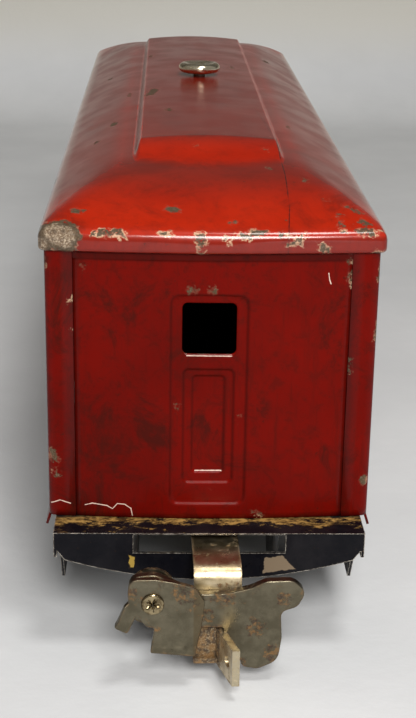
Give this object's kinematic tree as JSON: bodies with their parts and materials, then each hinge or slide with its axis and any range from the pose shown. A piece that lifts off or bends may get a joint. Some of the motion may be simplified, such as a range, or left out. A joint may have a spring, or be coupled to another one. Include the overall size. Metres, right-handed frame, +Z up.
{
  "type": "model passenger coach",
  "caption": "Pressed-steel model railway coach with a lift-off raised-deck roof, swivelling trucks and swinging latch couplers.",
  "frame": {"origin": "middle of the coach on the track plane, level with the lowest points of the wheel flanges", "axes": "+X across the coach, +Y along the track from the front end to the rear end, +Z up"},
  "size_m": [0.0636, 0.2978, 0.0953],
  "materials": {
    "red_enamel": "chipped gloss enamel",
    "black_enamel": "worn gloss enamel",
    "nickel_plate": "dull nickel plate with rust",
    "bright_nickel": "polished nickel plate",
    "plain_steel": "bare steel, browned",
    "wheel_metal": "black wheels with bright treads",
    "clear_strip": "aged clear celluloid"
  },
  "bodies": {
    "coach_body": {"floor_frame": "black_enamel", "right_side": "red_enamel", "left_side": "red_enamel", "right_glazing": "clear_strip", "left_glazing": "clear_strip", "roof_bridge": "plain_steel", "roof_stud": "plain_steel", "front_end_panel": "red_enamel", "front_end_screws": "plain_steel", "front_left_step": "black_enamel", "front_right_step": "black_enamel", "front_kingpin": "plain_steel", "front_kingpin_washers": "plain_steel", "front_kingpin_clip": "plain_steel", "rear_end_panel": "red_enamel", "rear_end_screws": "plain_steel", "rear_left_step": "black_enamel", "rear_right_step": "black_enamel", "rear_kingpin": "plain_steel", "rear_kingpin_washers": "plain_steel", "rear_kingpin_clip": "plain_steel"},
    "roof_lid": {"roof": "red_enamel"},
    "thumb_nut": {"roof_knob": "bright_nickel"},
    "front_truck": {"front_truck_bolster": "black_enamel", "front_truck_right_frame": "black_enamel", "front_truck_left_frame": "black_enamel"},
    "front_outer_wheelset": {"front_outer_axle": "plain_steel", "front_outer_left_wheel": "wheel_metal", "front_outer_right_wheel": "wheel_metal"},
    "front_inner_wheelset": {"front_inner_axle": "plain_steel", "front_inner_left_wheel": "wheel_metal", "front_inner_right_wheel": "wheel_metal"},
    "front_coupler": {"front_coupler_shank": "nickel_plate", "front_coupler_head": "nickel_plate", "front_latch_rivet": "nickel_plate", "front_latch_washer": "nickel_plate", "front_latch_spring": "plain_steel"},
    "front_latch_arm": {"front_latch": "nickel_plate"},
    "rear_truck": {"rear_truck_bolster": "black_enamel", "rear_truck_right_frame": "black_enamel", "rear_truck_left_frame": "black_enamel"},
    "rear_outer_wheelset": {"rear_outer_axle": "plain_steel", "rear_outer_left_wheel": "wheel_metal", "rear_outer_right_wheel": "wheel_metal"},
    "rear_inner_wheelset": {"rear_inner_axle": "plain_steel", "rear_inner_left_wheel": "wheel_metal", "rear_inner_right_wheel": "wheel_metal"},
    "rear_coupler": {"rear_coupler_shank": "nickel_plate", "rear_coupler_head": "nickel_plate", "rear_latch_rivet": "nickel_plate", "rear_latch_washer": "nickel_plate", "rear_latch_spring": "plain_steel"},
    "rear_latch_arm": {"rear_latch": "nickel_plate"}
  },
  "joints": [
    {"name": "roof_lift", "type": "slide", "parent": "coach_body", "child": "roof_lid", "axis": [0, 0, 1], "range_m": [0, 0.06]},
    {"name": "thumb_nut_spin", "type": "hinge", "parent": "roof_lid", "child": "thumb_nut", "pos_m": [0, 0, 0.0938], "axis": [0, 0, 1], "continuous": true},
    {"name": "front_coupler_swing", "type": "hinge", "parent": "coach_body", "child": "front_coupler", "pos_m": [0, -0.074, 0.022], "axis": [0, 0, 1], "range_deg": [-10.6, 8.4]},
    {"name": "front_latch_lift", "type": "hinge", "parent": "front_coupler", "child": "front_latch_arm", "pos_m": [-0.01064, -0.14332, 0.0174], "axis": [0.0197, -0.9998, 0], "range_deg": [0, 25], "stiffness_Nm_per_rad": 0.02, "springref_deg": -11.46},
    {"name": "front_truck_swivel", "type": "hinge", "parent": "coach_body", "child": "front_truck", "pos_m": [0, -0.074, 0.0205], "axis": [0, 0, 1], "range_deg": [-10, 10]},
    {"name": "front_outer_wheel_spin", "type": "hinge", "parent": "front_truck", "child": "front_outer_wheelset", "pos_m": [0, -0.094, 0.011], "axis": [1, 0, 0], "continuous": true},
    {"name": "front_inner_wheel_spin", "type": "hinge", "parent": "front_truck", "child": "front_inner_wheelset", "pos_m": [0, -0.054, 0.011], "axis": [1, 0, 0], "continuous": true},
    {"name": "rear_coupler_swing", "type": "hinge", "parent": "coach_body", "child": "rear_coupler", "pos_m": [0, 0.074, 0.022], "axis": [0, 0, 1], "range_deg": [-10.6, 8.4]},
    {"name": "rear_latch_lift", "type": "hinge", "parent": "rear_coupler", "child": "rear_latch_arm", "pos_m": [0.01064, 0.14332, 0.0174], "axis": [-0.0197, 0.9998, 0], "range_deg": [0, 25], "stiffness_Nm_per_rad": 0.02, "springref_deg": -11.46},
    {"name": "rear_truck_swivel", "type": "hinge", "parent": "coach_body", "child": "rear_truck", "pos_m": [0, 0.074, 0.0205], "axis": [0, 0, 1], "range_deg": [-10, 10]},
    {"name": "rear_outer_wheel_spin", "type": "hinge", "parent": "rear_truck", "child": "rear_outer_wheelset", "pos_m": [0, 0.094, 0.011], "axis": [1, 0, 0], "continuous": true},
    {"name": "rear_inner_wheel_spin", "type": "hinge", "parent": "rear_truck", "child": "rear_inner_wheelset", "pos_m": [0, 0.054, 0.011], "axis": [1, 0, 0], "continuous": true}
  ]
}
